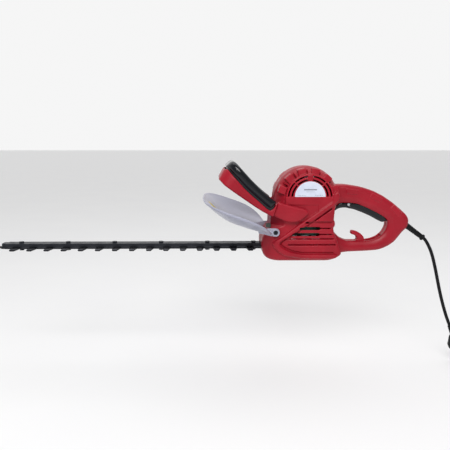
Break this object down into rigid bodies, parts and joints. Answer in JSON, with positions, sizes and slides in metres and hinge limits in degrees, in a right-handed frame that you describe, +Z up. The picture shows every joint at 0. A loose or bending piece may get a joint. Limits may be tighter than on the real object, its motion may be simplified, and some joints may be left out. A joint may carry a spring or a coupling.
{
  "type": "electric hedge trimmer",
  "caption": "Corded electric hedge trimmer with a double-sided reciprocating blade, pale plastic hand guard, bail front handle with switch bar, and looped rear handle with trigger.",
  "frame": {"origin": "middle of the rear grip, on the seam between the two housing shells", "axes": "+X runs back from the blade tip to the cord's exit, so the blade points along -X; +Z is up, square to the blade's flat; +Y completes the set and is the right-hand side of the tool"},
  "size_m": [0.9553, 0.284, 0.4038],
  "materials": {
    "red_plastic": "satin",
    "label_film": "gloss",
    "zinc_steel": "zinc plated",
    "black_plastic": "gloss",
    "plunger_plastic": "satin",
    "guard_plastic": "translucent",
    "black_steel": "blackened",
    "rubber": "matt",
    "cord_rubber": "satin",
    "nickel_plate": "polished",
    "electrical_steel": "laminated",
    "green_enamel_wire": "enamelled",
    "copper_wire": "enamelled",
    "copper_bar": "turned",
    "ground_steel": "ground",
    "fan_plastic": "satin",
    "brass": "pressed",
    "carbon": "matt",
    "gear_steel": "hardened",
    "plate_steel": "satin",
    "blade_steel": "blackened, ground edges",
    "felt": "matt",
    "capacitor_case": "gloss"
  },
  "bodies": {
    "tool": {"left_shell": "red_plastic", "right_shell": "red_plastic", "left_label": "label_film", "right_label": "label_film", "housing_screws": "zinc_steel", "front_handle": "red_plastic", "bar_pivot_pins": "zinc_steel", "front_handle_screws": "zinc_steel", "front_microswitch": "black_plastic", "guard": "guard_plastic", "guard_screws": "black_steel", "guard_stop": "rubber", "trigger_pin": "zinc_steel", "rear_switch": "black_plastic", "cord_clamp": "black_plastic", "cord_clamp_screws": "zinc_steel", "internal_lead": "cord_rubber", "strain_relief": "cord_rubber", "cord": "cord_rubber", "plug": "cord_rubber", "plug_pins": "nickel_plate", "stator_core": "electrical_steel", "field_windings": "green_enamel_wire", "upper_bearing": "ground_steel", "lower_bearing": "ground_steel", "brush_holders": "brass", "carbon_brushes": "carbon", "gear_spindle": "ground_steel", "gear_plate": "plate_steel", "base_plate": "plate_steel", "plate_spacers": "zinc_steel", "guide_bar": "black_steel", "blade_bolts": "black_steel", "blade_nuts": "black_steel", "felt_wiper": "felt", "capacitor": "capacitor_case"},
    "motor_rotor": {"armature_core": "electrical_steel", "armature_windings": "copper_wire", "commutator": "copper_bar", "motor_shaft": "ground_steel", "motor_fan": "fan_plastic", "pinion": "gear_steel"},
    "gear_wheel": {"drive_gear": "gear_steel", "gear_cams": "gear_steel"},
    "upper_blade": {"upper_blade": "blade_steel"},
    "lower_blade": {"lower_blade": "blade_steel"},
    "trigger": {"trigger": "black_plastic"},
    "rear_switch_plunger": {"rear_switch_plunger": "plunger_plastic"},
    "front_switch_bar": {"front_switch_bar": "black_plastic"},
    "front_switch_plunger": {"front_switch_plunger": "plunger_plastic"}
  },
  "joints": [
    {"name": "motor_spin", "type": "hinge", "parent": "tool", "child": "motor_rotor", "pos_m": [-0.125, 0, -0.025], "axis": [0, 0, 1], "continuous": true},
    {"name": "gear_spin", "type": "hinge", "parent": "tool", "child": "gear_wheel", "pos_m": [-0.161, 0, -0.088], "axis": [0, 0, 1], "continuous": true},
    {"name": "upper_blade_slide", "type": "slide", "parent": "tool", "child": "upper_blade", "axis": [1, 0, 0], "range_m": [-0.006, 0.006]},
    {"name": "lower_blade_slide", "type": "slide", "parent": "tool", "child": "lower_blade", "axis": [1, 0, 0], "range_m": [-0.006, 0.006]},
    {"name": "trigger_pull", "type": "hinge", "parent": "tool", "child": "trigger", "pos_m": [-0.04, 0, -0.009], "axis": [0, -1, 0], "range_deg": [0, 5], "stiffness_Nm_per_rad": 0.8, "springref_deg": -17.19},
    {"name": "rear_plunger_push", "type": "slide", "parent": "tool", "child": "rear_switch_plunger", "axis": [0, 0, 1], "range_m": [0, 0.00275]},
    {"name": "front_bar_squeeze", "type": "hinge", "parent": "tool", "child": "front_switch_bar", "pos_m": [-0.199, 0, -0.0162], "axis": [0, -1, 0], "range_deg": [0, 1.2], "stiffness_Nm_per_rad": 4, "springref_deg": -5.73},
    {"name": "front_plunger_push", "type": "slide", "parent": "tool", "child": "front_switch_plunger", "axis": [-0.5707, 0, -0.8211], "range_m": [0, 0.0014]}
  ],
  "couplings": [
    {"joint": "gear_spin", "follows": "motor_spin", "ratio": -0.14286},
    {"joint": "lower_blade_slide", "follows": "upper_blade_slide", "ratio": -1},
    {"joint": "rear_plunger_push", "follows": "trigger_pull", "m_per_rad": 0.031},
    {"joint": "front_plunger_push", "follows": "front_bar_squeeze", "m_per_rad": 0.0635}
  ]
}
